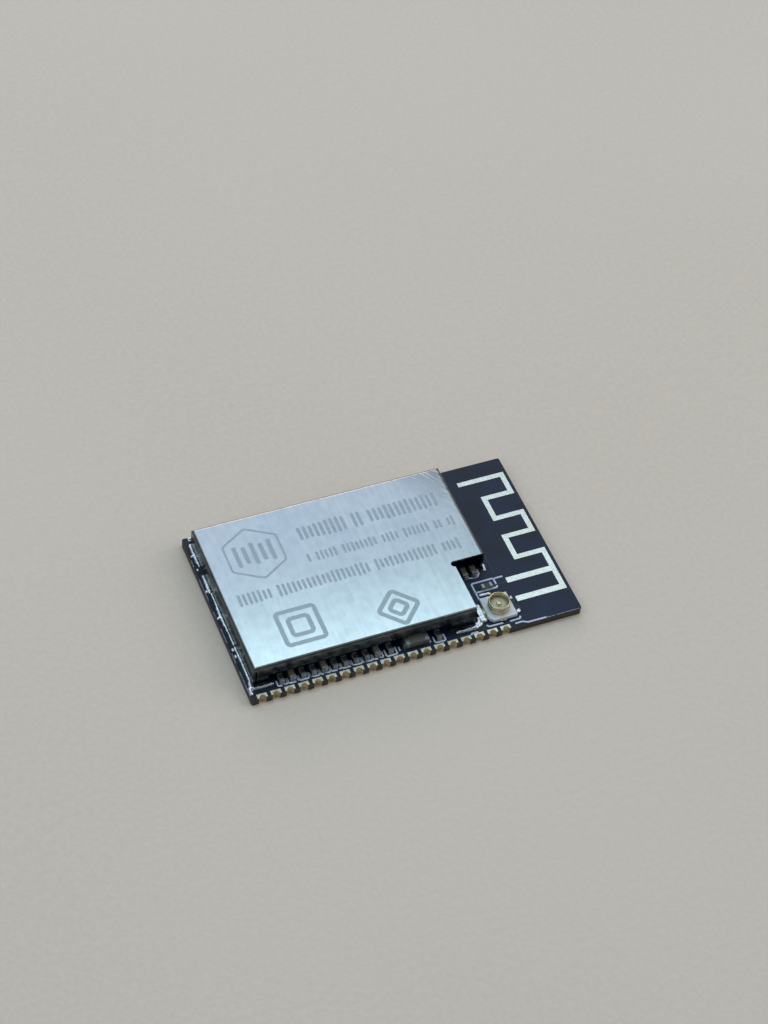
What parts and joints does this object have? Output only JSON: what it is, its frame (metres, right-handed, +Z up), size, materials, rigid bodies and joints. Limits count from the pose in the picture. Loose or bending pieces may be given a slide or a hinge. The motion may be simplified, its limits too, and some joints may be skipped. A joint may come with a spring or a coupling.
{
  "type": "castellated radio module",
  "caption": "Thin surface-mount radio board with plated half-hole edges, printed meander antenna, folded metal shield can with a notch, and a small coaxial antenna jack.",
  "frame": {"origin": "under the middle of the board, on the plane of its underside pads", "axes": "+X along the long edge towards the printed antenna, +Y across the board away from the edge with the chip row, +Z up out of the can lid"},
  "size_m": [0.0312, 0.0186, 0.003],
  "materials": {
    "bare_copper_finish": "pale plated copper, satin",
    "capacitor_body": "fired capacitor ceramic, satin",
    "crystal_ceramic": "dark alumina, matt",
    "crystal_lid": "seam-welded metal lid, satin",
    "ferrite_body": "grey ferrite, satin",
    "glass_epoxy": "cut glass-epoxy laminate, satin",
    "gold_contact": "hard gold over spring bronze, bright",
    "gold_plate": "immersion gold over nickel, satin",
    "package_mould": "filled epoxy mould compound, matt",
    "resistor_body": "dark glazed resistor face",
    "solder": "reflowed solder, bright",
    "solder_mask": "blue-black solder mask, semi-gloss",
    "tin_end": "matt tin plate",
    "tinned_land": "solder-coated copper land",
    "tinned_steel": "tin-plated sheet, rolled, lightly worn",
    "white_insulator": "moulded liquid-crystal polymer, matt"
  },
  "bodies": {
    "root": {"antenna_trace": "bare_copper_finish", "audio_codec": "package_mould", "audio_codec_joints": "solder", "audio_crystal_base": "crystal_ceramic", "audio_crystal_lid": "crystal_lid", "board_laminate": "glass_epoxy", "coax_centre_contact": "gold_contact", "coax_insulator": "white_insulator", "coax_lands": "tinned_land", "coax_outer_contact": "gold_contact", "coax_solder": "solder", "decoupling_capacitor_caps": "tin_end", "decoupling_capacitors": "capacitor_body", "far_edge_terminals": "gold_plate", "feed_resistor": "resistor_body", "feed_resistor_caps": "tin_end", "filter_capacitor_caps": "tin_end", "filter_capacitors": "capacitor_body", "flash_memory": "package_mould", "flash_memory_legs": "tin_end", "inner_part_lands": "tinned_land", "near_edge_terminals": "gold_plate", "notch_capacitor_caps": "tin_end", "notch_capacitor_left": "capacitor_body", "notch_capacitor_right": "capacitor_body", "outer_chip_lands": "tinned_land", "power_inductor": "ferrite_body", "power_inductor_caps": "tin_end", "pull_up_resistor_caps": "tin_end", "pull_up_resistors": "resistor_body", "radio_chip": "package_mould", "radio_chip_joints": "solder", "radio_crystal_base": "crystal_ceramic", "radio_crystal_lid": "crystal_lid", "row_capacitor_02": "capacitor_body", "row_capacitor_05": "capacitor_body", "row_capacitor_10": "capacitor_body", "row_capacitor_caps": "tin_end", "row_choke": "ferrite_body", "row_choke_caps": "tin_end", "row_resistor_01": "resistor_body", "row_resistor_03": "resistor_body", "row_resistor_04": "resistor_body", "row_resistor_06": "resistor_body", "row_resistor_07": "resistor_body", "row_resistor_08": "resistor_body", "row_resistor_09": "resistor_body", "row_resistor_11": "resistor_body", "row_resistor_12": "resistor_body", "row_resistor_caps": "tin_end", "shield_can": "tinned_steel", "shield_lands": "tinned_land", "shield_solder": "solder", "solder_mask_bottom": "solder_mask", "solder_mask_top": "solder_mask", "underside_ground_pad": "gold_plate", "underside_test_pads": "gold_plate", "work_memory": "package_mould", "work_memory_legs": "tin_end"}
  },
  "joints": []
}
